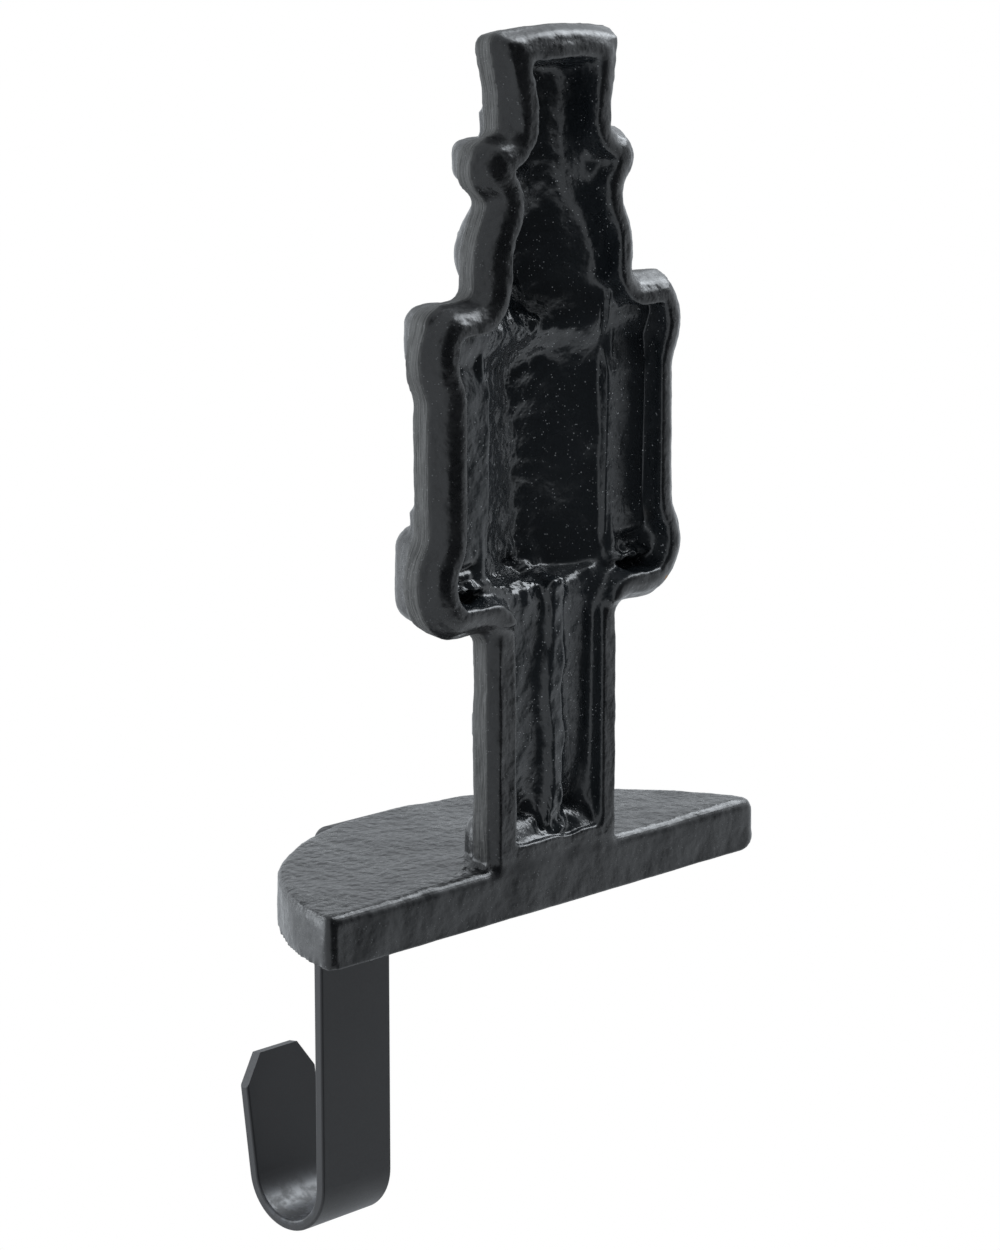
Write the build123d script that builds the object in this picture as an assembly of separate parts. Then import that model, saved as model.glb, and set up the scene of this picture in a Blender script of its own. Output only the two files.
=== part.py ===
from build123d import *
import os
from math import radians, sin, cos, tan

os.makedirs("parts", exist_ok=True)

# Mantel stocking holder: a hollow-backed soldier cast in one with its half-round plate, and a bent strap hook.
# Millimetres. X runs across, the figure faces -Y, Z is up. The plate's underside is z = 0, its back edge y = 0.

# Foot plate
plate_width = 118.2
plate_depth = 47.5
plate_height = 9.65
plate_corner = 1.6
plate_edge = 1.4

# Heights of the figure's parts, stacked from the plate up
leg_height = 44.0
fist_height = 18.1
sleeve_length = 25.7
shoulder_height = 16.8
head_height = 16.3
brim_height = 10.9
hat_height = 17.6
hat_dome = 1.4

# Half widths of the figure's outline
leg_half = 16.9
fist_start_half = 27.5
sleeve_half = 32.0
fist_bulge = 2.7
shoulder_bulge = 2.0
collar_half = 29.0
neck_half = 20.0
jaw_bulge = 0.5
temple_half = 16.2
brim_overhang = 4.8
hat_waist_half = 13.8
hat_flare = 2.4
hat_side_rim = 3.2

# Rounding of the outline's corners
crotch_round = 2.5
fist_round = 4.5
wrist_round = 4.0
shoulder_round = 5.0
neck_round = 2.0
brim_round = 1.8
hat_round = 2.4

# Section of the casting: the parting plane, the rim behind it and the drafted edge in front of it
parting_depth = 2.0
rim_rise = 4.2
rim_slope = 33.0
rim_width = 5.9
crest_rise = 1.0
crest_slope = 62.0
front_edge = 4.6
front_draft = 8.0
figure_root = 5.0

# Back hollow
hollow_depth = 4.8
hollow_draft = 15.0
hollow_foot = 17.0
wall = 4.0

# Relief on the front, as depths in front of the parting plane
hat_relief = 11.2
brim_relief = 15.2
temple_relief = 12.0
jaw_relief = 14.6
torso_relief = 13.4
waist_half = 17.2
arm_half = 7.3
arm_relief = 8.6
fist_relief = 13.2
leg_relief = 8.2
toe_reach = 13.0
toe_height = 8.0
boot_height = 27.5
cuff_height = 4.2
band_step = 0.8
belt_height = 6.0
buckle_width = 9.6
buckle_height = 7.8
button_size = 3.4
button_count = 3
button_start = 7.8
button_pitch = 6.5
stud_draft = 20.0
eye_size = 3.6
nose_size = 4.6
moustache_size = 4.4
moustache_half = 12.4
beard_size = 10.0
soft = 1.0
round_limit = 0.85

# Strap hook
strap_width = 19.0
strap_thickness = 2.2
strap_edge = 0.5
strap_seat = 7.8
strap_gap = 5.5
strap_setback = 2.0
bend_radius = 2.4
hook_drop = 77.0
hook_radius = 8.4
hook_lean = 8.0
tip_height = 33.0
tip_clip_width = 4.4
tip_clip_length = 6.2
groove_clearance = 0.4

# Screws that hold the strap up in its groove
screw_size = 4.0
screw_length = 9.0
screw_head = 7.2
screw_head_height = 2.4
screw_spread = 4.8
screw_depth = 8.5
screw_clearance = 0.05
hole_clearance = 0.3
hole_spare = 1.0

# Levels worked out from the stack of heights
fist_level = plate_height + leg_height
wrist_level = fist_level + fist_height
sleeve_level = wrist_level + sleeve_length
shoulder_level = sleeve_level + shoulder_height
temple_level = shoulder_level + head_height
brim_level = temple_level + brim_height
hat_level = brim_level + hat_height
front_inset = front_edge * tan(radians(front_draft))
rim_level = rim_rise - parting_depth
arm_centre = sleeve_half - front_inset - arm_half
leg_centre = (leg_half - front_inset) / 2


def outline():
    """Flat outline of the figure on the parting plane, with every corner rounded."""
    fist_half = sleeve_half + fist_bulge
    shoulder_half = sleeve_half + shoulder_bulge
    jaw_half = neck_half + jaw_bulge
    brim_half = temple_half + brim_overhang
    hat_half = hat_waist_half + hat_flare
    hat_shoulder = hat_level - hat_side_rim
    path = [
        Line((0, figure_root), (leg_half, figure_root)),
        Line((leg_half, figure_root), (leg_half, fist_level)),
        Line((leg_half, fist_level), (fist_start_half, fist_level)),
        ThreePointArc(
            (fist_start_half, fist_level),
            (fist_half, (fist_level + wrist_level) / 2),
            (sleeve_half, wrist_level),
        ),
        Line((sleeve_half, wrist_level), (sleeve_half, sleeve_level)),
        ThreePointArc(
            (sleeve_half, sleeve_level),
            (shoulder_half, (sleeve_level + shoulder_level) / 2),
            (collar_half, shoulder_level),
        ),
        Line((collar_half, shoulder_level), (neck_half, shoulder_level)),
        ThreePointArc(
            (neck_half, shoulder_level),
            (jaw_half, shoulder_level + head_height / 3),
            (temple_half, temple_level),
        ),
        ThreePointArc(
            (temple_half, temple_level),
            (brim_half, (temple_level + brim_level) / 2),
            (hat_waist_half, brim_level),
        ),
        ThreePointArc(
            (hat_waist_half, brim_level),
            (hat_waist_half + hat_flare / 4, (brim_level + hat_shoulder) / 2),
            (hat_half, hat_shoulder),
        ),
        Line((hat_half, hat_shoulder), (hat_half, hat_level)),
    ]
    half = Curve() + path
    crown = ThreePointArc((hat_half, hat_level), (0, hat_level + hat_dome), (-hat_half, hat_level))
    face = make_face(half + crown + mirror(half, about=Plane.YZ))
    corners = [
        (leg_half, fist_level, crotch_round),
        (fist_start_half, fist_level, fist_round),
        (sleeve_half, wrist_level, wrist_round),
        (sleeve_half, sleeve_level, wrist_round),
        (collar_half, shoulder_level, shoulder_round),
        (neck_half, shoulder_level, neck_round),
        (temple_half, temple_level, brim_round),
        (hat_waist_half, brim_level, brim_round),
        (hat_half, hat_level, hat_round),
    ]
    for x, z, radius in corners:
        both = [v for v in face.vertices() if abs(abs(v.X) - x) < 0.01 and abs(v.Y - z) < 0.01]
        face = fillet(both, radius)
    return face


def oval(half, depth):
    """Ellipse given by its half width and its depth, with its seam at the back."""
    return Rot(0, 0, 90) * Ellipse(depth, half)


def barrel(x, half, depth, bottom, top, edge=0, y=-parting_depth):
    """Upright elliptic drum for sleeves, cuffs, fists, belts and boots, with rounded ends where it has an edge."""
    drum = Pos(x, y, bottom) * extrude(oval(half, depth), top - bottom)
    tightest_bend = min(half**2 / depth, depth**2 / half)
    return fillet(drum.edges(), min(edge, round_limit * tightest_bend)) if edge else drum


def column(*sections, x=0, ruled=False):
    """Elliptic column through sections given as (half width, depth, height)."""
    rings = [Pos(x, -parting_depth, z) * oval(half, depth) for half, depth, z in sections]
    return loft(rings, ruled=ruled)


def spindle(start, end, radius):
    """Tapered roll, thickest in the middle, between two points of the face."""
    axis = Line(start, end)
    reach = axis.length / 2
    bow = ThreePointArc((0, -reach), (radius, 0), (0, reach))
    profile = make_face(Plane.XZ * (Curve() + [bow, Line((0, reach), (0, -reach))]))
    return Plane(origin=axis @ 0.5, z_dir=axis % 0.5) * revolve(profile, Axis.Z)


def stud(x, y, z, radius, height):
    """Round stud that tapers towards the front, for eyes and buttons."""
    return Pos(x, y, z) * extrude(Plane.XZ * Circle(radius), height, taper=stud_draft)


def both_sides(shape):
    return shape + mirror(shape, about=Plane.YZ)


def plate():
    """Half-round foot plate with soft upper edges and a flat underside."""
    half = plate_width / 2
    rim = ThreePointArc((-half, 0), (0, -plate_depth), (half, 0))
    body = extrude(make_face(Curve() + [rim, Line((half, 0), (-half, 0))]), plate_height)
    body = fillet(body.edges().filter_by(Axis.Z), plate_corner)
    return fillet(body.edges().group_by(Axis.Z)[-1], plate_edge)


def shell(face):
    """Figure's body: a drafted edge in front of the parting plane and a sloping rim behind it."""
    upright = Plane.XZ.offset(parting_depth) * face
    front = extrude(upright, front_edge, dir=(0, -1, 0), taper=front_draft)
    rear = extrude(upright, rim_rise - crest_rise, dir=(0, 1, 0), taper=rim_slope)
    rear += extrude(rear.faces().sort_by(Axis.Y)[-1], crest_rise, dir=(0, 1, 0), taper=crest_slope)
    corner = (Align.CENTER, Align.MIN, Align.MIN)
    leg_back = Box(2 * sleeve_half, rim_rise, fist_level + soft, align=corner)
    return front + (rear - leg_back)


def head():
    """Hat with band and brim, face, moustache and beard."""
    hat_half = hat_waist_half - front_inset
    temple = temple_half - front_inset
    jaw = neck_half + jaw_bulge - front_inset
    brim = temple_half + brim_overhang - front_inset
    hat = column(
        (hat_half, hat_relief - band_step, temple_level),
        (hat_half, hat_relief - band_step, brim_level),
        (hat_half + hat_flare, hat_relief, hat_level - soft),
    )
    band = barrel(0, hat_half + band_step, hat_relief, brim_level - soft, brim_level + cuff_height)
    visor = barrel(0, brim, brim_relief, temple_level + 3 * soft, brim_level - soft, 2 * soft)
    skull = column(
        (jaw - 3 * soft, temple_relief - 2 * soft, shoulder_level - wall),
        (jaw - soft, temple_relief, shoulder_level + soft),
        (jaw, jaw_relief, shoulder_level + head_height / 3),
        (temple, temple_relief, temple_level),
        (temple, temple_relief, temple_level + brim_height / 2),
    )
    front = -parting_depth - temple_relief
    lip_level = temple_level - head_height / 2
    nose = spindle((0, front + soft, temple_level), (0, front - 2 * soft, lip_level + 2 * soft), nose_size / 2)
    eye = stud(temple / 3, front + 2 * soft, temple_level - 2 * soft, eye_size / 2, 2 * soft)
    roll = spindle(
        (-soft / 2, front - 2 * soft, lip_level + soft),
        (moustache_half, front + 2 * soft, lip_level - soft),
        moustache_size / 2,
    )
    beard = spindle((0, front - soft, lip_level), (0, front + 2 * soft, shoulder_level - 2 * wall), beard_size / 2)
    return hat + band + visor + skull + nose + beard + both_sides(eye + roll)


def arms():
    """Epaulettes, sleeves, cuffs and fists."""
    sleeve = barrel(arm_centre, arm_half, arm_relief, wrist_level - soft, shoulder_level - 3 * soft, 2 * soft)
    cuff = barrel(arm_centre, arm_half + band_step / 2, arm_relief + band_step, wrist_level + soft,
                  wrist_level + soft + cuff_height)
    fist = barrel(arm_centre + band_step, arm_half + band_step / 2, fist_relief, fist_level + 2.5 * soft,
                  wrist_level + 2 * soft, 4 * soft)
    epaulette = barrel(arm_centre + band_step, arm_half + band_step / 2, arm_relief + 2 * band_step,
                       sleeve_level + cuff_height, shoulder_level - soft, 3 * soft)
    return both_sides(sleeve + cuff + fist + epaulette)


def torso():
    """Coat with a belt, a buckle and a row of buttons."""
    belt_level = wrist_level + cuff_height + belt_height
    coat = column(
        (waist_half + soft, torso_relief, fist_level - soft),
        (waist_half, torso_relief - soft, belt_level),
        (waist_half + soft, torso_relief, sleeve_level),
        (waist_half - soft, torso_relief - 3 * soft, shoulder_level - 2 * soft),
    )
    belt = barrel(0, waist_half + band_step, torso_relief - soft + band_step, belt_level - belt_height / 2,
                  belt_level + belt_height / 2)
    front = -parting_depth - torso_relief
    pad = extrude(Plane.XZ * RectangleRounded(buckle_width, buckle_height, soft), 3 * soft)
    coat = coat + belt + Pos(0, front + 3 * soft - band_step, belt_level) * pad
    for step in range(button_count):
        level = belt_level + button_start + step * button_pitch
        coat += stud(0, front + 2 * soft, level, button_size / 2, 3 * soft)
    return coat


def legs():
    """Trousers, boots with turned cuffs, and toes that stand on the plate."""
    root = plate_height - soft
    half = leg_centre - band_step
    cuff_top = plate_height + boot_height
    trouser = barrel(leg_centre, half, leg_relief, root, fist_level + soft)
    boot = barrel(leg_centre, half + band_step / 4, leg_relief + band_step, root, cuff_top - soft)
    cuff = barrel(leg_centre, half + band_step / 2, leg_relief + 2 * band_step, cuff_top - cuff_height, cuff_top)
    toe_centre = -(toe_reach + soft) / 2
    toe = barrel(leg_centre, half - soft, toe_reach / 2, root, plate_height + toe_height, 3 * soft, y=toe_centre)
    return both_sides(trouser + boot + cuff + toe)


def relief():
    """All raised work on the figure's front, trimmed at the parting plane."""
    raised = head() + arms() + torso() + legs()
    size = 2 * (hat_level + plate_width)
    front = Pos(0, -parting_depth - size / 2, hat_level / 2) * Box(size, size, size)
    return raised & front


def hollow(face):
    """Open back: a shallow pocket inside the rim, with deeper wells behind the head, coat, arms and legs."""
    pocket = Plane.XZ.offset(-rim_level) * offset(face, -rim_width)
    size = 2 * (hat_level + plate_width)
    above = Pos(0, 0, hollow_foot + size / 2) * Box(size, size, size)
    dish = extrude(pocket, hollow_depth, dir=(0, -1, 0), taper=hollow_draft)
    dish += extrude(pocket, rim_rise, dir=(0, 1, 0))
    jaw = neck_half - rim_width
    temple = temple_half - rim_width
    crown = hat_waist_half - rim_width
    head_well = column(
        (jaw - soft, temple_relief - wall - 2 * soft, shoulder_level - 2 * soft),
        (jaw, jaw_relief - wall, shoulder_level + head_height / 3),
        (temple, temple_relief - wall, temple_level),
        (crown, hat_relief - wall, brim_level),
        (crown, hat_relief - wall, hat_level - rim_width),
    )
    coat_foot = fist_level + 2 * wall
    coat_well = barrel(0, waist_half - soft, torso_relief - wall, coat_foot, shoulder_level - soft, 2 * soft)
    inner = arm_half - wall + soft
    lane = sleeve_half - rim_width - inner + soft
    arm_well = column(
        (inner, arm_relief - wall, fist_level + 3 * wall),
        (inner, arm_relief - wall, sleeve_level),
        (inner, arm_relief - soft, shoulder_level - 2 * wall),
        (inner, arm_relief - soft, shoulder_level - rim_width),
        x=lane, ruled=True,
    )
    fist_top = fist_level + 2.5 * wall
    fist_well = barrel(lane, inner, fist_relief - wall, fist_level + rim_width, fist_top)
    leg_lane = (leg_half - rim_width) / 2
    leg_well = barrel(leg_lane, leg_lane - soft / 2, leg_relief - wall, hollow_foot + soft, fist_top)
    wells = head_well + coat_well + both_sides(arm_well + fist_well + leg_well)
    bounds = extrude(pocket, rim_level + brim_relief, dir=(0, -1, 0))
    return (dish + (wells & bounds)) & above


def screw_places():
    return [Pos(x, -screw_depth, strap_seat - strap_thickness) for x in (-screw_spread, screw_spread)]


def casting():
    """Plate and figure in one piece, with the hollow back and the strap's groove underneath."""
    face = outline()
    body = plate() + shell(face) + relief()
    body -= hollow(face)
    groove_width = strap_width + 2 * groove_clearance
    groove_length = plate_depth - strap_setback + groove_clearance
    groove = Box(groove_width, groove_length, strap_seat, align=(Align.CENTER, Align.MIN, Align.MIN))
    body -= Pos(0, -plate_depth, 0) * groove
    bore = screw_size / 2 + screw_clearance
    depth = screw_length + hole_spare
    for place in screw_places():
        body -= place * Cylinder(bore, depth, align=(Align.CENTER, Align.CENTER, Align.MIN))
    return body


def hook():
    """Flat strap: along the groove, down in front of the plate and round into a J with a clipped tip."""
    level = strap_seat - strap_thickness / 2
    drop_y = -plate_depth - strap_gap - strap_thickness / 2
    turn = bend_radius + strap_thickness / 2
    round_middle = hook_radius + strap_thickness / 2
    round_level = round_middle + strap_thickness / 2 - hook_drop
    centre = Vector(0, drop_y - round_middle, round_level)
    along = Line((0, -strap_setback, level), (0, drop_y + turn, level))
    bend = ThreePointArc(
        along @ 1,
        (0, drop_y + turn * (1 - sin(radians(45))), level - turn * (1 - cos(radians(45)))),
        (0, drop_y, level - turn),
    )
    down = Line(bend @ 1, (0, drop_y, round_level))
    sweep_end = radians(180 - hook_lean)
    half_way = sweep_end / 2
    bowl = ThreePointArc(
        down @ 1,
        centre + Vector(0, round_middle * cos(half_way), -round_middle * sin(half_way)),
        centre + Vector(0, round_middle * cos(sweep_end), -round_middle * sin(sweep_end)),
    )
    tip_end = hook_drop - tip_height
    rise = -tip_end - (bowl @ 1).Z
    tip = Line(bowl @ 1, bowl @ 1 + (bowl % 1) * (rise / cos(radians(hook_lean))))
    path = Wire([along, bend, down, bowl, tip])
    section = Plane(origin=along @ 0, x_dir=(1, 0, 0), z_dir=along % 0)
    strap = sweep(section * RectangleRounded(strap_width, strap_thickness, strap_edge), path)
    end = Plane(origin=tip @ 1, x_dir=(1, 0, 0), z_dir=Vector(1, 0, 0).cross(tip % 1))
    corner = Polyline(
        (strap_width / 2 - tip_clip_width, 0),
        (strap_width / 2, -tip_clip_length),
        (strap_width, -tip_clip_length),
        (strap_width, tip_clip_length),
        (strap_width / 2 - tip_clip_width, tip_clip_length),
        close=True,
    )
    clip = extrude(end * make_face(corner), strap_thickness, both=True)
    strap -= both_sides(clip)
    for place in screw_places():
        strap -= place * Cylinder(screw_size / 2 + hole_clearance, 3 * strap_thickness)
    return strap


def screws():
    """Pan-head screws up through the strap, into blind holes under the boots."""
    shank = Cylinder(screw_size / 2, screw_length, align=(Align.CENTER, Align.CENTER, Align.MIN))
    head_down = Cylinder(screw_head / 2, screw_head_height, align=(Align.CENTER, Align.CENTER, Align.MAX))
    head_down = fillet(head_down.edges().group_by(Axis.Z)[0], screw_head_height / 3)
    return Compound([place * (shank + head_down) for place in screw_places()])


export_step(casting(), "parts/casting.step")
export_step(hook(), "parts/hook.step")
export_step(screws(), "parts/hook_screws.step")
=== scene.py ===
import math

import bmesh
import bpy
import numpy as np
from mathutils import Matrix, Vector, noise
from mathutils.bvhtree import BVHTree


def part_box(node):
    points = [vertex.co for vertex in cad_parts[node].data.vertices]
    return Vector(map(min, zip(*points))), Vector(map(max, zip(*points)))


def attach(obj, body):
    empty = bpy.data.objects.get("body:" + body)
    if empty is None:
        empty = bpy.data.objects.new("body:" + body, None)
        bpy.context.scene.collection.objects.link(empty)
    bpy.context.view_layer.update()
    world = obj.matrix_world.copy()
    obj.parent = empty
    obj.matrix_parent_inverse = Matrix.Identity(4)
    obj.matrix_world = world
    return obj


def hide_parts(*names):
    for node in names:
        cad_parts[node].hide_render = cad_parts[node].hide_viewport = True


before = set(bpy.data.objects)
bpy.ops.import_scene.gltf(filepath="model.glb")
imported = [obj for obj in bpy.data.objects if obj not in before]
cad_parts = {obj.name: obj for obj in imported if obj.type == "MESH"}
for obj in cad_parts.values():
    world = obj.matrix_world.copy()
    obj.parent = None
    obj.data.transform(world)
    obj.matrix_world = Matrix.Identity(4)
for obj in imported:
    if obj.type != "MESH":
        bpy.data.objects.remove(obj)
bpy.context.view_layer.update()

# Lengths are in millimetres unless a comment says otherwise
MM = 0.001

# Camera, fitted to a 1000 x 1250 picture's plate and strap: angles in degrees, eye and clip in metres
FOCAL_PIXELS = 3566.4
PICTURE_HEIGHT = 1250
CAMERA_YAW = 47.167
CAMERA_PITCH = 11.189
CAMERA_EYE = (0.47312, 0.42399, 0.17826)
CAMERA_CLIP = 0.01
SENSOR = 36.0

# Even grid of the casting's skin
WELD = 0.001
GRID = 0.67

# Smoothing: share of the way that a point moves each round, then rounds and pull back for each use
SMOOTH = 0.5
EDGE_ROUNDS = 2
EDGE_WEIGHT = 0.55
EDGE_PULL = 1.04
HOLLOW_ROUNDS = 36
HOLLOW_PULL = 0.35
LEDGE_ROUNDS = 2

# Rounds that blur the shares kept at the points
HOLLOW_BLUR = 3
STRIP_BLUR = 1
SHARE_BLUR = 2

# Noise: the shift that goes with a seed, the fall and step between octaves, and a seed for each use
NOISE_SHIFT = (17.3, 5.1, 29.7)
NOISE_FALL = 1.0
NOISE_STEP = 2.0
NOISE_OCTAVES = 2
SAND_SEED, WAVE_SEED, LUMP_SEED, WANDER_SEED, PIT_SEED = range(1, 6)

# Cast texture: heights and grain sizes, and how much of the grit the hollow loses
SAND_HEIGHT = 0.06
SAND_SCALE = 1.5
SAND_LOSS = 0.5
WAVE_HEIGHT = 0.28
WAVE_SCALE = 9.0
PIT_HEIGHT = 0.46
PIT_SCALE = 2.8
LUMP_SCALE = 3.6

# Share of the pits at x = 0, its fade towards -X and its least value, then the shares in arms and legs
PIT_MIDDLE = 0.9
PIT_FADE = 12.0
PIT_LEAST = 0.25
ARM_PITS = 0.2
LEG_PITS = 0.4

# Plate's top, how far above it the figure begins and fades in, and the margin of what counts as plate
PLATE_TOP = 9.65
PLATE_SEAM = 1.0
FIGURE_FADE = 1.5
PLATE_MARGIN = 0.5

# Parts of a point's unit normal that tell the casting's surfaces apart
STRIP_TILT = 0.5
TOP_TILT = 0.72
TOP_FADE = 0.2
LEVEL_TILT = 0.6
UNDER_TILT = -0.7
FRONT_TILT = -0.1

# Dry, streaked strip along the figure's sides, between these depths; its lighter grey is partly painted
# light from the side
STRIP_BACK = -2.3
STRIP_FRONT = -6.8

# Share of the sandy bump that each surface of the casting shows
SAND_FIGURE = 0.28
SAND_PLATE_SIDE = 0.12
SAND_PLATE_TOP = 1.0
SAND_HOLLOW = 0.55

# Share of the hollow's sandy bump at x = 0, and its fade towards -X
ROUGH_MIDDLE = 0.5
ROUGH_FADE = 10.0

# Rays that find the hollow: their start above the surface and their reach, and the hollow's foremost depth
RAY_START = 0.3
RAY_REACH = 100.0
HOLLOW_FRONT = -17.0

# The real casting leans a little: how far each level drops towards +X, as (height, slope)
LEAN = ((0, 0.0), (50, 0.012), (70, 0.022), (110, 0.042), (122, 0.034), (140, 0.018), (165, 0.018))

# Trough behind coat, head and hat as (height, middle, depth, slope), its rounding and the coat's half width
TROUGH = (
    (60, 1.0, -9.0, 0.45),
    (66, 1.0, -11.0, 0.50),
    (101, 1.0, -11.0, 0.50),
    (105, 0.0, -6.0, 0.25),
    (107, 0.0, -6.2, 0.28),
    (113, 0.0, -12.0, 0.66),
    (130, 0.0, -12.0, 0.75),
    (140, 0.0, -9.6, 0.80),
    (160, 0.0, -9.6, 0.80),
)
TROUGH_ROUND = 3.0
COAT_HALF = 15.6

# Floor of the arms' channels beside the trough, as (height, depth), and how far it starts below that
ARM_FLOOR = (
    (54, -2.2),
    (56, -2.2),
    (58, -4.0),
    (61, -4.0),
    (62.2, -1.1),
    (64.7, -4.2),
    (67, -2.9),
    (97, -2.3),
    (102, -3.6),
    (106, -2.2),
    (114, -1.6),
)
ARM_SINK = 1.2

# Floor of the legs' channels and the slope at their foot, as (height, depth)
LEG_TOP = 61.0
LEG_FLOOR = ((17, -6.0), (24, -3.4), (61, -2.6))
LEG_FOOT = ((10.3, 0.6), (13.0, -0.9), (16.5, -3.2), (19.0, -7.4))

# Ridge between the legs: its middle, depth and half width, and how steeply its sides fall
RIDGE_MIDDLE = -0.9
RIDGE_DEPTH = -1.0
RIDGE_HALF = 1.6
RIDGE_FALL = 1.7

# Mouth of the legs' hollow: foremost depth, widening towards -X and +X, drop, and the spans of both
LEG_BACK = -6.2
LEG_WIDEN = (1.9, 0.8)
LEG_WIDEN_SPAN = (0, 11.5, 16)
LEG_DROP = 4.2
LEG_DROP_SPAN = (10.2, 15.6, 32)
LEG_FADE = 8.0

# Wandering of the floor's lines, and the depth in front of which the floor is smoothed
WANDER = 1.6
WANDER_SCALE = 11.0
MOUTH = -1.6
MOUTH_FADE = 2.0

# Places where the hollow and its rim run together more softly, as (x, z, reach)
SOFT_SPOTS = ((-13, 131, 4), (13, 131, 4), (-13, 56, 4), (13, 56, 4), (-8.5, 153, 3.5), (8.5, 153, 3.5))
SOFT_ROUNDS = 14
SOFT_FRONT = -14.8

# Plate's two back corners as (side, rounding), seen from above
CORNERS = ((-1, 3.2), (1, 1.0))

# Rounding of the corner at -X over the plate's top and underside, and the level direction it points in
END_ROUND = 2.4
END_WAY = (-0.68, 0.733)

# Softening of the edge between the plate's top and its back
EDGE_REACH = 1.4
EDGE_SOFTENING = 5

# Hat's upper back edge: crown, its drop at the sides, half width, back face, rounding, squareness, fade
HAT_TOP = 160.4
HAT_DOME = 1.4
HAT_HALF = 16.2
HAT_BACK = 2.2
HAT_ROUND = 4.0
HAT_SQUARE = 3.2
HAT_FADE = 5.0

# Marks on the front, on both sides, as (x, z, x, z, reach, height): eye, brow, moustache, buttons
FRONT_MARKS = (
    (4.7, 128.3, 5.8, 128.3, 1.8, 1.2),
    (3.4, 131.0, 7.8, 131.5, 0.9, 0.9),
    (0.9, 123.2, 6.4, 121.9, 2.1, 1.7),
    (6.4, 121.9, 9.8, 123.4, 1.3, 1.1),
    (0.0, 89.8, 0.0, 89.8, 2.0, 1.1),
    (0.0, 96.2, 0.0, 96.2, 2.0, 1.1),
    (0.0, 102.7, 0.0, 102.7, 2.0, 1.1),
)

# Bands on the front as (low, high, inner, outer, height): hat band, belt, cuff
FRONT_BANDS = (
    (140.4, 145.6, 0, 15, 0.5),
    (79.0, 85.0, 6, 18, 0.5),
    (72.8, 77.0, 19, 32, 0.4),
)

# Depth in front of which marks and bands are laid, and the width of a band's edge
FRONT_FACE = -8.0
BAND_EDGE = 0.5

# Lumps of run metal at the coat's foot, the legs' foot, the neck and the fists, as (x, z, reach, height)
LUMPS = ((2, 62, 5.5, 1.7), (0, 15, 5.5, 1.7), (-3, 104, 8, 0.5), (-22, 62, 3.5, 1.7), (22, 62, 3.5, 1.7))

# Part of a noise's range over which it mixes two tones
MIDDLE = (0.3, 0.7)

# Casting's paint: pairs of colours that a noise mixes, then single colours
CASTING_BLACKS = ((0.0045, 0.005, 0.006), (0.008, 0.0085, 0.0095))
# Greys of the sides' strip: dry paint, made lighter partly as painted light from the side
DRY_AND_SIDE_LIT_GREYS = ((0.016, 0.016, 0.015), (0.085, 0.085, 0.082))
# The hollow's black is lighter and bluish: a painted cool reflection of the studio light
HOLLOW_BLACK_AND_COOL_SHEEN = (0.0145, 0.0175, 0.0205)
# Grey of the bright specks, which are painted glints
GLINT_GREY = (0.42, 0.43, 0.44)
RUST = (0.36, 0.19, 0.08)

# Casting's paint: sizes of its tones, grain, streaks and bumps
TONE_SIZE = 14.0
GRAIN_SIZE = 0.9
STREAK_SIZE = 1.0
STREAK_STRETCH = (0.16, 3.2, 0.16)
STREAK_SPAN = (0.32, 0.68)
SOFT_BUMP_SIZE = 3.4
SAND_BUMP_SIZE = 2.3

# Casting's paint: roughness outside, what the grain adds to it, and roughness of the special places
CASTING_ROUGH = (0.24, 0.33)
GRAIN_ROUGH = (-0.04, 0.10)
HOLLOW_ROUGH = (0.20, 0.30)
WET_ROUGH = 0.10
TOP_ROUGH = 0.5
STRIP_ROUGH = 0.62
CHIP_ROUGH = 0.8

# Painted glints as bright specks: cell size, a speck's edge as a share of its cell, their patches, and
# their share outside
SPECK_SIZE = 0.62
SPECK_EDGE = (0.14, 0.24)
SPECK_PATCH_SIZE = 1.3
SPECK_PATCH_SPAN = (0.50, 0.62)
SPECK_OUTSIDE = 0.25

# Chip in the paint on the edge of one fist: its place, size, soft edge and raggedness
CHIP = (-28.5, 1.4, 57.6)
CHIP_SIZE = 0.75
CHIP_EDGE = 0.2
CHIP_RAGGED = 0.4
CHIP_SPAN = (0.2, 0.8)

# Strap's paint
STRAP_BLACKS = ((0.017, 0.017, 0.0185), (0.023, 0.023, 0.0245))
STRAP_TONE_SIZE = 18.0
STRAP_GRAIN_SIZE = 0.35
STRAP_ROUGH = (0.46, 0.54)
STRAP_GRAIN_ROUGH = (-0.02, 0.05)

# Hook's bowl: its axis, the stretch that leaves X out, and how far out and how high the rubbed paint goes
BOWL = (0.0, -63.6, -66.4)
BOWL_SECTION = (0.0, 1.0, 1.0)
BOWL_REACH = (8.9, 9.6)
BOWL_LEVELS = (-73.5, -68.5)

# Rubbed paint in the bowl
RUBBED_GREY = (0.060, 0.063, 0.070)
RUBBED_ROUGH = 0.30
RUBBED_SIZE = 3.0
RUBBED_SPAN = (0.40, 0.62)

# Screws' coat
SCREW_BLACKS = ((0.012, 0.012, 0.013), (0.022, 0.022, 0.023))
SCREW_TONE_SIZE = 1.2
SCREW_ROUGH = (0.38, 0.5)

# Floor, in metres, and how much it glows for the camera
FLOOR_LEVEL = -0.5
FLOOR_RADIUS = 0.6
FLOOR_SIDES = 64
FLOOR_GREY = (0.9, 0.9, 0.9)
FLOOR_ROUGH = 0.9
FLOOR_GLOW = 0.5

# Unlit side of the studio, which the camera doesn't see: its direction, its edge as cosines, its level
DARK_SIDE = (0.0, 0.96, 0.2)
DARK_EDGE = (0.52, 0.80)
DARK_LEVEL = 0.06

# Studio's white for the camera, for light and reflections, and the level of that light
WHITE = (1.0, 1.0, 1.0)
COOL_WHITE = (0.90, 0.95, 1.0)
SOFT_LIGHT = 0.7

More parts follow.
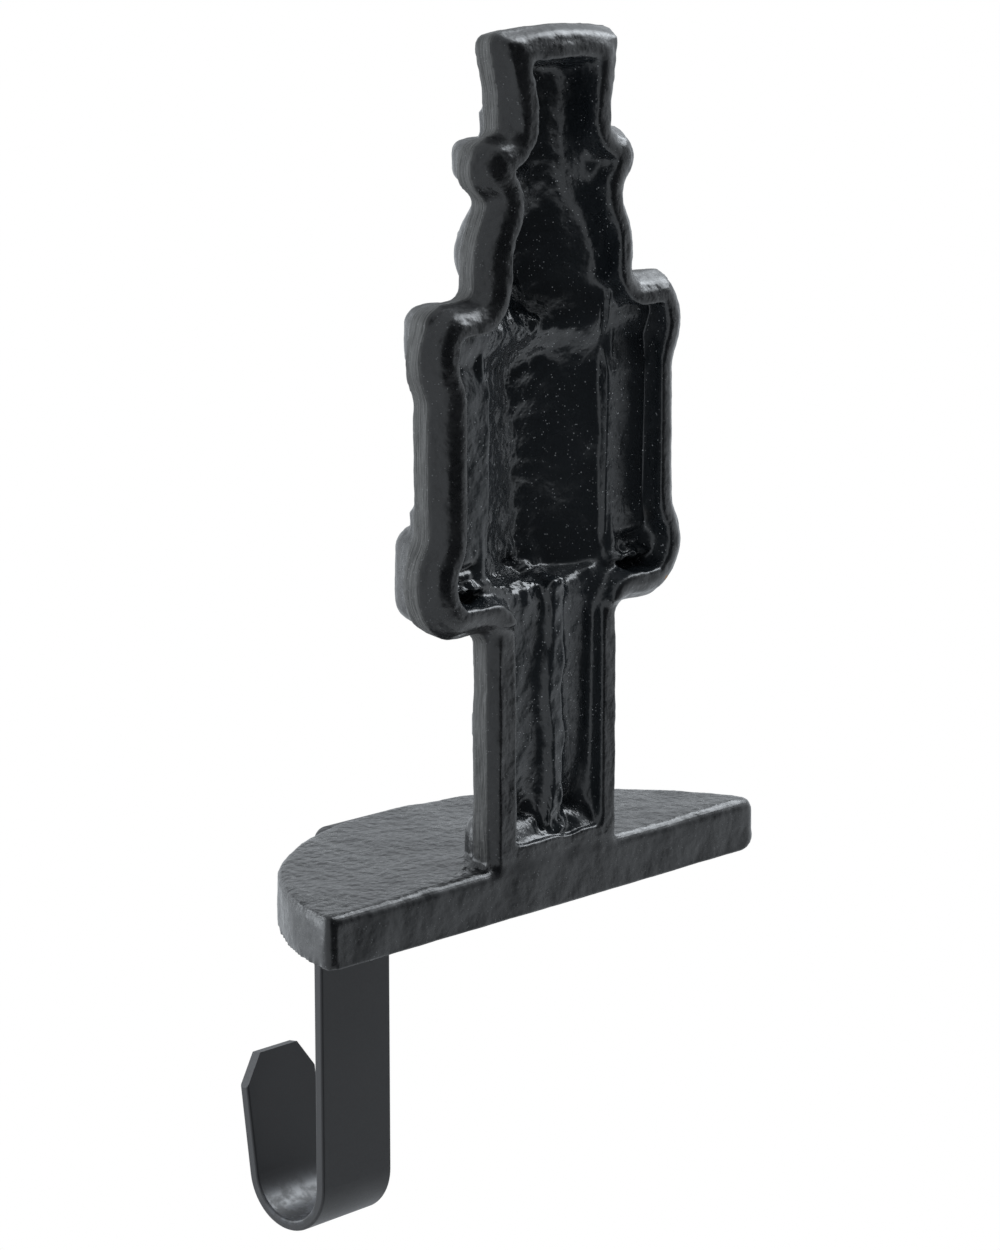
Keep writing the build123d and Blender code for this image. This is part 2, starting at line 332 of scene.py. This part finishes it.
# Lamps as (name, place, target, size, power), in metres and watts
LAMPS = (
    ("top_light", (-0.75, 0.14, 0.8), (0.0, 0.0, 0.1), (0.7, 0.7), 11.0),
    ("side_light", (0.6, -0.9, 0.15), (0.0, 0.0, 0.06), (0.8, 0.8), 7.0),
)


def add_object(name, data):
    """Puts a mesh, lamp or camera into the scene."""
    piece = bpy.data.objects.new(name, data)
    bpy.context.scene.collection.objects.link(piece)
    return piece


def applied(piece):
    """Replaces a piece's mesh by what its modifiers make of it."""
    graph = bpy.context.evaluated_depsgraph_get()
    mesh = bpy.data.meshes.new_from_object(piece.evaluated_get(graph))
    piece.modifiers.clear()
    piece.data = mesh


def points(mesh):
    values = np.empty(len(mesh.vertices) * 3)
    mesh.vertices.foreach_get("co", values)
    return values.reshape(-1, 3)


def normals(mesh):
    values = np.empty(len(mesh.vertices) * 3)
    mesh.vertex_normals.foreach_get("vector", values)
    return values.reshape(-1, 3)


def neighbours(mesh):
    pairs = np.empty(len(mesh.edges) * 2, dtype=np.int64)
    mesh.edges.foreach_get("vertices", pairs)
    return pairs.reshape(-1, 2)


def averaged(values, pairs, rounds, weight=SMOOTH, pull=0.0):
    """Moves values towards the mean of their neighbours, and back by pull so that shapes don't shrink."""
    count = np.bincount(pairs.ravel(), minlength=len(values)).astype(float)
    shape = (-1,) + (1,) * (values.ndim - 1)
    count = count.reshape(shape)
    weight = np.broadcast_to(np.asarray(weight, dtype=float), len(values)).reshape(shape)
    steps = (weight, -pull * weight) if pull else (weight,)
    for _ in range(rounds):
        for step in steps:
            total = np.zeros_like(values)
            np.add.at(total, pairs[:, 0], values[pairs[:, 1]])
            np.add.at(total, pairs[:, 1], values[pairs[:, 0]])
            values = values + step * (total / count - values)
    return values


def field(co, scale, seed):
    """Smooth noise of about -1 to 1 at each point, with grains of the given size."""
    shift = Vector([seed * step for step in NOISE_SHIFT])
    scaled = co / (scale * MM)
    settings = (NOISE_FALL, NOISE_STEP, NOISE_OCTAVES)
    return np.array([noise.fractal(Vector(p) + shift, *settings) for p in scaled])


def hollow_share(mesh, co, facing):
    """1 at points that lie open to the back and are walled on both sides, and 0 elsewhere."""
    tree = BVHTree.FromPolygons([Vector(p) for p in co], [tuple(f.vertices) for f in mesh.polygons])
    back = Vector((0, 1, 0))
    sides = (Vector((-1, 0, 0)), Vector((1, 0, 0)))
    inside = np.zeros(len(co))
    for i, (place, way) in enumerate(zip(co, facing)):
        if place[1] < HOLLOW_FRONT * MM or place[2] < PLATE_TOP * MM:
            continue
        start = Vector(place) + Vector(way) * RAY_START * MM
        if tree.ray_cast(start, back, RAY_REACH * MM)[0] is not None:
            continue
        if all(tree.ray_cast(start, side, RAY_REACH * MM)[0] is not None for side in sides):
            inside[i] = 1.0
    return inside


def surface_shares(co, pairs, facing, hollow):
    """How much of the dry strip, painted lighter partly as painted side light, of the dry level tops and of
    the sandy bump each point shows.
    """
    figure = np.clip((co[:, 2] / MM - PLATE_TOP - PLATE_SEAM) / FIGURE_FADE, 0, 1)
    outside = 1 - hollow
    depth = co[:, 1] / MM
    strip = (depth < STRIP_BACK) & (depth > STRIP_FRONT) & (np.abs(facing[:, 1]) < STRIP_TILT)
    strip = averaged(strip * figure * outside, pairs, STRIP_BLUR)
    top = np.clip((facing[:, 2] - TOP_TILT) / TOP_FADE, 0, 1)
    top = averaged(top * figure * outside, pairs, STRIP_BLUR)
    plate = co[:, 2] < (PLATE_TOP + PLATE_SEAM) * MM
    sand = np.full(len(co), SAND_FIGURE)
    sand[plate] = SAND_PLATE_SIDE
    sand[plate & (facing[:, 2] > LEVEL_TILT)] = SAND_PLATE_TOP
    rough = np.clip(ROUGH_MIDDLE + co[:, 0] / MM / ROUGH_FADE, 0, 1) * (co[:, 2] > LEG_TOP * MM)
    rough = averaged(rough * (np.abs(co[:, 0]) < COAT_HALF * MM), pairs, SHARE_BLUR)
    sand = averaged(sand, pairs, SHARE_BLUR) + SAND_HOLLOW * hollow * rough
    return {"strip": strip, "top": top, "sand": sand}


def front_relief(co, facing):
    """Height of the marks and bands that stand on the figure's front."""
    x, y, z = (co / MM).T
    relief = np.zeros(len(co))
    for x1, z1, x2, z2, reach, height in FRONT_MARKS:
        length = max((x2 - x1) ** 2 + (z2 - z1) ** 2, BAND_EDGE**2)
        along = np.clip(((np.abs(x) - x1) * (x2 - x1) + (z - z1) * (z2 - z1)) / length, 0, 1)
        away = np.hypot(np.abs(x) - x1 - along * (x2 - x1), z - z1 - along * (z2 - z1))
        relief = np.maximum(relief, height * np.sqrt(np.clip(1 - (away / reach) ** 2, 0, 1)))
    for low, high, inner, outer, height in FRONT_BANDS:
        across = np.minimum(np.abs(x) - inner + BAND_EDGE, outer - np.abs(x))
        inside = np.minimum(np.minimum(z - low, high - z), across)
        relief = np.maximum(relief, height * np.clip(inside / BAND_EDGE, 0, 1))
    return relief * (facing[:, 1] < FRONT_TILT) * (y < FRONT_FACE)


def round_corners(co, half):
    """Rounds the plate's two back corners, seen from above."""
    x, y, z = (co / MM).T
    for side, size in CORNERS:
        across = side * x - (half - size)
        along = y + size
        away = np.hypot(across, along)
        corner = (z < PLATE_TOP + PLATE_MARGIN) & (across > 0) & (along > 0) & (away > size)
        share = size / away[corner]
        co[corner, 0] = side * (half - size + across[corner] * share) * MM
        co[corner, 1] = (along[corner] * share - size) * MM


def soften_end(co):
    """Rounds the plate's back corner at -X over its top and its underside."""
    way = np.array(END_WAY)
    z = co[:, 2] / MM
    plate = z < PLATE_TOP + PLATE_MARGIN
    out = co[:, :2] @ way / MM
    out -= out[plate].max() - END_ROUND
    middle = PLATE_TOP / 2
    up = np.abs(z - middle) - (middle - END_ROUND)
    away = np.hypot(out, up)
    corner = plate & (out > 0) & (up > 0) & (away > END_ROUND)
    share = END_ROUND / away[corner]
    co[corner, :2] -= MM * (out[corner] * (1 - share))[:, None] * way
    height = middle - END_ROUND + up[corner] * share
    co[corner, 2] = MM * (middle + np.sign(z[corner] - middle) * height)


def square_hat(co):
    """Draws the hat's upper back edge out to a tighter rounding."""
    x, y, z = (co / MM).T
    crown = HAT_TOP - HAT_DOME * (x / HAT_HALF) ** 2
    back = (y - HAT_BACK) / HAT_ROUND + 1
    up = (z - crown) / HAT_ROUND + 1
    edge = (back > 0) & (up > 0)
    back, up = back[edge], up[edge]
    share = np.hypot(back, up) / (back**HAT_SQUARE + up**HAT_SQUARE) ** (1 / HAT_SQUARE)
    share = 1 + (share - 1) * np.clip((HAT_HALF - np.abs(x[edge])) / HAT_FADE, 0, 1)
    co[edge, 1] = (HAT_BACK + (back * share - 1) * HAT_ROUND) * MM
    co[edge, 2] = (crown[edge] + (up * share - 1) * HAT_ROUND) * MM


def stretch_legs(co):
    """Widens the mouth of the legs' hollow and carries it down to just above the plate."""
    x, y, z = (co / MM).T
    legs = (z < LEG_TOP) & (y > LEG_BACK)
    wide = np.interp(np.abs(x), LEG_WIDEN_SPAN, (0, 1, 0))
    wide *= np.interp(z, LEG_DROP_SPAN[:2], (0, 1))
    wide *= np.interp(z, (LEG_TOP - LEG_FADE, LEG_TOP), (1, 0))
    drop = np.interp(z, LEG_DROP_SPAN, (0, 1, 0)) * np.interp(np.abs(x), LEG_WIDEN_SPAN[1:], (1, 0))
    co[:, 0] += MM * legs * wide * np.where(x < 0, -LEG_WIDEN[0], LEG_WIDEN[1])
    co[:, 2] -= MM * legs * drop * LEG_DROP


def arm_ledges(x, z):
    """Depth of the arms' channels, and minus infinity elsewhere."""
    beside = (np.abs(x) > COAT_HALF) & (z < ARM_FLOOR[-1][0])
    return np.where(beside, np.interp(z, *zip(*ARM_FLOOR)), -np.inf)


def foot_ledge(x, z):
    """Depth of the slope at the foot of the legs' hollow, and minus infinity elsewhere."""
    between = (np.abs(x) < COAT_HALF) & (z < LEG_FOOT[-1][0])
    return np.where(between, np.interp(z, *zip(*LEG_FOOT)), -np.inf)


def hollow_floor(x, z):
    """Depth of the hollow's floor, measured from the plate's back face and negative towards the front."""
    heights, middle, depth, slope = zip(*TROUGH)
    away = np.hypot(x - np.interp(z, heights, middle), TROUGH_ROUND) - TROUGH_ROUND
    trough = np.interp(z, heights, depth) + np.interp(z, heights, slope) * away
    arm = arm_ledges(x, z)
    floor = np.where(np.isfinite(arm), arm - ARM_SINK, trough)
    ridge = RIDGE_DEPTH - RIDGE_FALL * np.maximum(np.abs(x - RIDGE_MIDDLE) - RIDGE_HALF, 0)
    legs = np.maximum(np.interp(z, *zip(*LEG_FLOOR)), ridge)
    return np.where((z < LEG_TOP) & (np.abs(x) < COAT_HALF), legs, floor)


def filled(co, place, pairs, hollow):
    """Raises the hollow's floor, lets it run smooth, lays the ledges on it and softens parts of its rim.

    The floor is set from place, where each point lay before the plate's edge was softened.
    """
    x, y, z = place
    aside = WANDER * field(co, WANDER_SCALE, WANDER_SEED)
    co[:, 1] += MM * hollow * np.maximum(hollow_floor(x + aside, z) - y, 0)
    deep = np.clip((MOUTH - co[:, 1] / MM) / MOUTH_FADE, 0, 1)
    co = averaged(co, pairs, HOLLOW_ROUNDS, SMOOTH * hollow * deep, HOLLOW_PULL)
    x, y, z = (co / MM).T
    ledge = np.maximum(arm_ledges(x, z), foot_ledge(x, z))
    co[:, 1] += MM * hollow * np.maximum(ledge - y, 0)
    co = averaged(co, pairs, LEDGE_ROUNDS, SMOOTH * hollow * deep)
    soft = sum(np.exp(-((x - sx) ** 2 + (z - sz) ** 2) / reach**2) for sx, sz, reach in SOFT_SPOTS)
    return averaged(co, pairs, SOFT_ROUNDS, SMOOTH * np.clip(soft, 0, 1) * (y > SOFT_FRONT))


def cast_texture(co, hollow):
    """Height of the cast texture at each point, and how much glossy paint has pooled there."""
    x, _, z = (co / MM).T
    lift = SAND_HEIGHT * field(co, SAND_SCALE, SAND_SEED) * (1 - SAND_LOSS * hollow)
    lift += WAVE_HEIGHT * field(co, WAVE_SCALE, WAVE_SEED)
    pits = PIT_HEIGHT * field(co, PIT_SCALE, PIT_SEED) * hollow
    pits *= np.clip(PIT_MIDDLE + x / PIT_FADE, PIT_LEAST, 1)
    pits *= np.clip(COAT_HALF - np.abs(x), ARM_PITS, 1)
    lift += pits * np.where(z < LEG_TOP, LEG_PITS, 1)
    lump = field(co, LUMP_SCALE, LUMP_SEED)
    wet = np.zeros(len(co))
    for middle_x, middle_z, reach, height in LUMPS:
        near = np.exp(-((x - middle_x) ** 2 + (z - middle_z) ** 2) / reach**2)
        lift += height * lump * near * hollow
        wet = np.maximum(wet, near * hollow)
    return lift, wet


def even_grid():
    """Copy of the casting on an even grid, as a new piece."""
    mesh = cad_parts["casting"].data.copy()
    weld = bmesh.new()
    weld.from_mesh(mesh)
    bmesh.ops.remove_doubles(weld, verts=weld.verts, dist=WELD * MM)
    weld.to_mesh(mesh)
    weld.free()
    skin = add_object("casting_skin", mesh)
    grid = skin.modifiers.new("grid", "REMESH")
    grid.mode = "VOXEL"
    grid.voxel_size = GRID * MM
    applied(skin)
    return skin


def make_skin():
    """Casting with rounded edges, an uneven hollow and a cast surface, inside the casting's own box."""
    skin = even_grid()
    mesh = skin.data
    co = points(mesh)
    pairs = neighbours(mesh)
    facing = normals(mesh)
    hollow = averaged(hollow_share(mesh, co, facing), pairs, HOLLOW_BLUR)
    shares = surface_shares(co, pairs, facing, hollow)
    under = averaged((facing[:, 2] < UNDER_TILT) * (co[:, 2] < PLATE_TOP * MM), pairs, SHARE_BLUR)
    low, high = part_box("casting")
    co = averaged(co, pairs, EDGE_ROUNDS, EDGE_WEIGHT, EDGE_PULL)
    co[:, 1] -= MM * front_relief(co, facing)
    round_corners(co, high[0] / MM)
    soften_end(co)
    square_hat(co)
    stretch_legs(co)
    place = (co / MM).T
    _, y, z = place
    edge = np.exp(-(y**2 + (z - PLATE_TOP) ** 2) / EDGE_REACH**2) * (1 - hollow)
    co = averaged(co, pairs, EDGE_SOFTENING, SMOOTH * edge)
    shares["sand"] *= 1 - edge
    co = filled(co, place, pairs, hollow)
    mesh.vertices.foreach_set("co", co.ravel())
    mesh.update()
    drop = np.interp(co[:, 2] / MM, *zip(*LEAN))
    lift, wet = cast_texture(co, hollow)
    co = co + normals(mesh) * (lift * (1 - under) * MM)[:, None]
    co[:, 2] -= drop * co[:, 0]
    co = np.clip(co, np.array(low), np.array(high))
    mesh.vertices.foreach_set("co", co.ravel())
    mesh.polygons.foreach_set("use_smooth", np.ones(len(mesh.polygons), dtype=bool))
    for name, values in {"hollow": hollow, **shares, "wet": wet}.items():
        share = mesh.attributes.new(name, "FLOAT", "POINT")
        share.data.foreach_set("value", values.astype(np.float32))
    mesh.update()
    return skin


class Nodes:
    """Small helper that adds nodes to one node tree and links them."""

    def __init__(self, tree):
        self.tree = tree

    def node(self, kind, **settings):
        node = self.tree.nodes.new(kind)
        for key, value in settings.items():
            setattr(node, key, value)
        return node

    def link(self, source, target):
        self.tree.links.new(source, target)

    def feed(self, value, socket):
        """Gives a socket a colour, a number or the output of another node."""
        if isinstance(value, tuple):
            socket.default_value = (*value, 1.0)
        elif isinstance(value, (int, float)):
            socket.default_value = value
        else:
            self.link(value, socket)

    def math(self, operation, a, b):
        node = self.node("ShaderNodeMath", operation=operation)
        self.feed(a, node.inputs[0])
        self.feed(b, node.inputs[1])
        return node.outputs[0]

    def ramp(self, source, span, result=(0.0, 1.0)):
        """Smooth step from the first result to the second as the source goes through the span."""
        node = self.node("ShaderNodeMapRange", interpolation_type="SMOOTHSTEP")
        keys = ("From Min", "From Max", "To Min", "To Max")
        for key, value in zip(keys, (*span, *result)):
            node.inputs[key].default_value = value
        self.link(source, node.inputs["Value"])
        return node.outputs["Result"]

    def mixed(self, data_type, socket_type, factor, a, b):
        node = self.node("ShaderNodeMix", data_type=data_type)
        self.link(factor, node.inputs["Factor"])
        sockets = [socket for socket in node.inputs if socket.type == socket_type]
        for socket, value in zip(sockets[-2:], (a, b)):
            self.feed(value, socket)
        return next(socket for socket in node.outputs if socket.type == socket_type)

    def mix(self, factor, a, b):
        """Mixes two colours."""
        return self.mixed("RGBA", "RGBA", factor, a, b)

    def between(self, factor, a, b):
        """Mixes two numbers."""
        return self.mixed("FLOAT", "VALUE", factor, a, b)

    def mix_shaders(self, factor, a, b):
        node = self.node("ShaderNodeMixShader")
        for socket, source in zip(node.inputs, (factor, a, b)):
            self.link(source, socket)
        return node.outputs[0]


class Paint(Nodes):
    """Nodes of one material, in the object's own coordinates."""

    def __init__(self, name):
        self.material = bpy.data.materials.new(name)
        self.material.use_nodes = True
        super().__init__(self.material.node_tree)
        self.shader = self.tree.nodes["Principled BSDF"]
        self.place = self.node("ShaderNodeTexCoord").outputs["Object"]

    def noise(self, size, detail=3.0, rough=0.55, place=None):
        node = self.node("ShaderNodeTexNoise")
        node.inputs["Scale"].default_value = 1 / (size * MM)
        node.inputs["Detail"].default_value = detail
        node.inputs["Roughness"].default_value = rough
        self.link(place or self.place, node.inputs["Vector"])
        return node.outputs["Fac"]

    def cells(self, size):
        """Distance from the middle of the nearest cell, as a share of the cells' size."""
        node = self.node("ShaderNodeTexVoronoi")
        node.inputs["Scale"].default_value = 1 / (size * MM)
        self.link(self.place, node.inputs["Vector"])
        return node.outputs["Distance"]

    def share(self, name):
        """One of the values that the skin keeps at its points."""
        return self.node("ShaderNodeAttribute", attribute_name=name).outputs["Fac"]

    def stretched(self, scale):
        node = self.node("ShaderNodeMapping")
        node.inputs["Scale"].default_value = scale
        self.link(self.place, node.inputs["Vector"])
        return node.outputs["Vector"]

    def distance(self, place, point):
        node = self.node("ShaderNodeVectorMath", operation="DISTANCE")
        self.link(place, node.inputs[0])
        node.inputs[1].default_value = [c * MM for c in point]
        return node.outputs["Value"]

    def bump(self, height, depth, strength, after=None):
        node = self.node("ShaderNodeBump")
        node.inputs["Strength"].default_value = strength
        node.inputs["Distance"].default_value = depth * MM
        self.link(height, node.inputs["Height"])
        if after is not None:
            self.link(after, node.inputs["Normal"])
        return node.outputs["Normal"]

    def finished(self, colour, rough, normal):
        """The material, with its colour, roughness and bump on the shader."""
        self.link(colour, self.shader.inputs["Base Color"])
        self.link(rough, self.shader.inputs["Roughness"])
        self.link(normal, self.shader.inputs["Normal"])
        return self.material


def painted_glints(paint, hollow):
    """Small painted glints: bright specks in patches, fewer outside the hollow."""
    speck = paint.ramp(paint.cells(SPECK_SIZE), SPECK_EDGE, (1.0, 0.0))
    patch = paint.ramp(paint.noise(SPECK_PATCH_SIZE), SPECK_PATCH_SPAN)
    share = paint.between(hollow, SPECK_OUTSIDE, 1.0)
    return paint.math("MULTIPLY", paint.math("MULTIPLY", speck, patch), share)


def chipped(paint, grain):
    """Ragged spot where the paint has come off one fist."""
    ragged = paint.ramp(grain, CHIP_SPAN, (-CHIP_RAGGED * MM, CHIP_RAGGED * MM))
    away = paint.math("ADD", paint.distance(paint.place, CHIP), ragged)
    return paint.ramp(away, ((CHIP_SIZE - CHIP_EDGE) * MM, CHIP_SIZE * MM), (1.0, 0.0))


def casting_paint():
    """Satin black paint: glossier in the hollow, sandiest on the plate's top, dry on the figure's sides,
    with painted light in its colour: a lighter cool black in the hollow as a painted reflection, a lighter
    grey on the sides partly as painted side light, and bright specks as painted glints.
    """
    paint = Paint("casting_black_paint")
    hollow = paint.share("hollow")
    strip = paint.share("strip")
    sand = paint.share("sand")
    tone = paint.noise(TONE_SIZE)
    grain = paint.noise(GRAIN_SIZE, detail=4.0, rough=0.65)
    streak = paint.noise(STREAK_SIZE, rough=0.6, place=paint.stretched(STREAK_STRETCH))
    chip = chipped(paint, grain)

    colour = paint.mix(paint.ramp(tone, MIDDLE), *CASTING_BLACKS)
    # In the hollow the colour turns lighter and bluish as a painted cool reflection
    colour = paint.mix(hollow, colour, HOLLOW_BLACK_AND_COOL_SHEEN)
    # The strip's lighter streaked grey is partly real dry paint and partly painted side light
    colour = paint.mix(strip, colour, paint.mix(paint.ramp(streak, STREAK_SPAN), *DRY_AND_SIDE_LIT_GREYS))
    # Bright specks painted as glints
    colour = paint.mix(painted_glints(paint, hollow), colour, GLINT_GREY)
    colour = paint.mix(chip, colour, RUST)

    even = paint.ramp(tone, MIDDLE, CASTING_ROUGH)
    outside = paint.math("ADD", even, paint.ramp(grain, MIDDLE, GRAIN_ROUGH))
    inside = paint.between(paint.share("wet"), paint.ramp(tone, MIDDLE, HOLLOW_ROUGH), WET_ROUGH)
    rough = paint.between(hollow, outside, inside)
    rough = paint.between(paint.share("top"), rough, TOP_ROUGH)
    rough = paint.between(strip, rough, STRIP_ROUGH)
    rough = paint.between(chip, rough, CHIP_ROUGH)

    normal = paint.bump(paint.noise(SOFT_BUMP_SIZE, detail=2.0), depth=0.3, strength=0.3)
    sandy = paint.math("MULTIPLY", paint.noise(SAND_BUMP_SIZE, detail=2.0, rough=0.5), sand)
    normal = paint.bump(sandy, depth=0.9, strength=0.9, after=normal)
    normal = paint.bump(paint.math("MULTIPLY", grain, sand), depth=0.14, strength=0.7, after=normal)
    normal = paint.bump(paint.math("MULTIPLY", streak, strip), depth=0.35, strength=0.8, after=normal)
    return paint.finished(colour, rough, normal)


def bowl_rubbing(paint):
    """Patches of rubbed paint low inside the hook's bowl."""
    section = paint.stretched(BOWL_SECTION)
    height = paint.node("ShaderNodeSeparateXYZ")
    paint.link(section, height.inputs[0])
    near = paint.ramp(paint.distance(section, BOWL), [reach * MM for reach in BOWL_REACH], (1.0, 0.0))
    low = paint.ramp(height.outputs["Z"], [level * MM for level in BOWL_LEVELS], (1.0, 0.0))
    patch = paint.ramp(paint.noise(RUBBED_SIZE, detail=4.0, rough=0.6), RUBBED_SPAN)
    return paint.math("MULTIPLY", paint.math("MULTIPLY", near, low), patch)


def strap_paint():
    """Smooth satin black paint, rubbed where a stocking's loop hangs."""
    paint = Paint("strap_black_paint")
    tone = paint.noise(STRAP_TONE_SIZE)
    grain = paint.noise(STRAP_GRAIN_SIZE)
    rubbed = bowl_rubbing(paint)
    colour = paint.mix(paint.ramp(tone, MIDDLE), *STRAP_BLACKS)
    colour = paint.mix(rubbed, colour, RUBBED_GREY)
    even = paint.ramp(tone, MIDDLE, STRAP_ROUGH)
    rough = paint.math("ADD", even, paint.ramp(grain, MIDDLE, STRAP_GRAIN_ROUGH))
    rough = paint.between(rubbed, rough, RUBBED_ROUGH)
    return paint.finished(colour, rough, paint.bump(grain, depth=0.03, strength=0.35))


def screw_paint():
    """Black coat of the screws."""
    paint = Paint("screw_black_coat")
    tone = paint.noise(SCREW_TONE_SIZE)
    colour = paint.mix(tone, *SCREW_BLACKS)
    rough = paint.ramp(tone, MIDDLE, SCREW_ROUGH)
    return paint.finished(colour, rough, paint.bump(tone, depth=0.03, strength=0.4))


def dress(piece, material):
    piece.data.materials.clear()
    piece.data.materials.append(material)


def white_world():
    """White for the camera, and cool white with an unlit side for reflections and, softer, for light."""
    world = bpy.data.worlds.new("studio")
    bpy.context.scene.world = world
    world.use_nodes = True
    nodes = Nodes(world.node_tree)
    rays = nodes.node("ShaderNodeLightPath").outputs
    camera = rays["Is Camera Ray"]
    seen = nodes.math("MAXIMUM", camera, rays["Is Glossy Ray"])
    seen = nodes.math("MAXIMUM", seen, rays["Is Transmission Ray"])
    towards = nodes.node("ShaderNodeVectorMath", operation="DOT_PRODUCT")
    nodes.link(nodes.node("ShaderNodeTexCoord").outputs["Generated"], towards.inputs[0])
    towards.inputs[1].default_value = Vector(DARK_SIDE).normalized()
    room = nodes.ramp(towards.outputs["Value"], DARK_EDGE, (1.0, DARK_LEVEL))
    shown = nodes.node("ShaderNodeBackground")
    nodes.link(nodes.mix(camera, COOL_WHITE, WHITE), shown.inputs["Color"])
    nodes.link(nodes.math("MAXIMUM", room, camera), shown.inputs["Strength"])
    light = nodes.tree.nodes["Background"]
    nodes.feed(COOL_WHITE, light.inputs["Color"])
    nodes.link(nodes.math("MULTIPLY", room, SOFT_LIGHT), light.inputs["Strength"])
    surface = nodes.mix_shaders(seen, light.outputs[0], shown.outputs[0])
    nodes.link(surface, nodes.tree.nodes["World Output"].inputs["Surface"])


def white_floor():
    """Plain pale floor far below the hook, lifted to white for the camera."""
    mesh = bpy.data.meshes.new("floor")
    turns = [2 * math.pi * i / FLOOR_SIDES for i in range(FLOOR_SIDES)]
    rim = [(FLOOR_RADIUS * math.cos(a), FLOOR_RADIUS * math.sin(a), FLOOR_LEVEL) for a in turns]
    mesh.from_pydata(rim, [], [tuple(range(FLOOR_SIDES))])
    floor = add_object("floor", mesh)
    material = bpy.data.materials.new("floor_white")
    material.use_nodes = True
    nodes = Nodes(material.node_tree)
    shader = nodes.tree.nodes["Principled BSDF"]
    nodes.feed(FLOOR_GREY, shader.inputs["Base Color"])
    nodes.feed(FLOOR_ROUGH, shader.inputs["Roughness"])
    nodes.feed(0.0, shader.inputs["Specular IOR Level"])
    glow = nodes.node("ShaderNodeEmission")
    nodes.feed(FLOOR_GLOW, glow.inputs["Strength"])
    both = nodes.node("ShaderNodeAddShader")
    nodes.link(shader.outputs[0], both.inputs[0])
    nodes.link(glow.outputs[0], both.inputs[1])
    camera = nodes.node("ShaderNodeLightPath").outputs["Is Camera Ray"]
    surface = nodes.mix_shaders(camera, shader.outputs[0], both.outputs[0])
    nodes.link(surface, nodes.tree.nodes["Material Output"].inputs["Surface"])
    dress(floor, material)


def softbox(name, place, target, size, power):
    lamp = bpy.data.lights.new(name, "AREA")
    lamp.shape = "RECTANGLE"
    lamp.size, lamp.size_y = size
    lamp.energy = power
    lamp.color = COOL_WHITE
    box = add_object(name, lamp)
    box.location = place
    box.rotation_euler = (Vector(target) - Vector(place)).to_track_quat("-Z", "Y").to_euler()


def make_camera():
    yaw = math.radians(CAMERA_YAW)
    pitch = math.radians(CAMERA_PITCH)
    back = Vector((math.sin(yaw) * math.cos(pitch), math.cos(yaw) * math.cos(pitch), math.sin(pitch)))
    right = Vector((-math.cos(yaw), math.sin(yaw), 0.0))
    up = back.cross(right)
    data = bpy.data.cameras.new("camera")
    data.sensor_fit = "VERTICAL"
    data.sensor_height = SENSOR
    data.lens = FOCAL_PIXELS / PICTURE_HEIGHT * SENSOR
    data.clip_start = CAMERA_CLIP
    camera = add_object("camera", data)
    camera.matrix_world = Matrix.Translation(CAMERA_EYE) @ Matrix((right, up, back)).transposed().to_4x4()
    bpy.context.scene.camera = camera


bpy.context.scene.view_settings.view_transform = "Standard"
skin = make_skin()
dress(skin, casting_paint())
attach(skin, "root")
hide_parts("casting")
dress(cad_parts["hook"], strap_paint())
dress(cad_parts["hook_screws"], screw_paint())
white_world()
white_floor()
for lamp in LAMPS:
    softbox(*lamp)
make_camera()
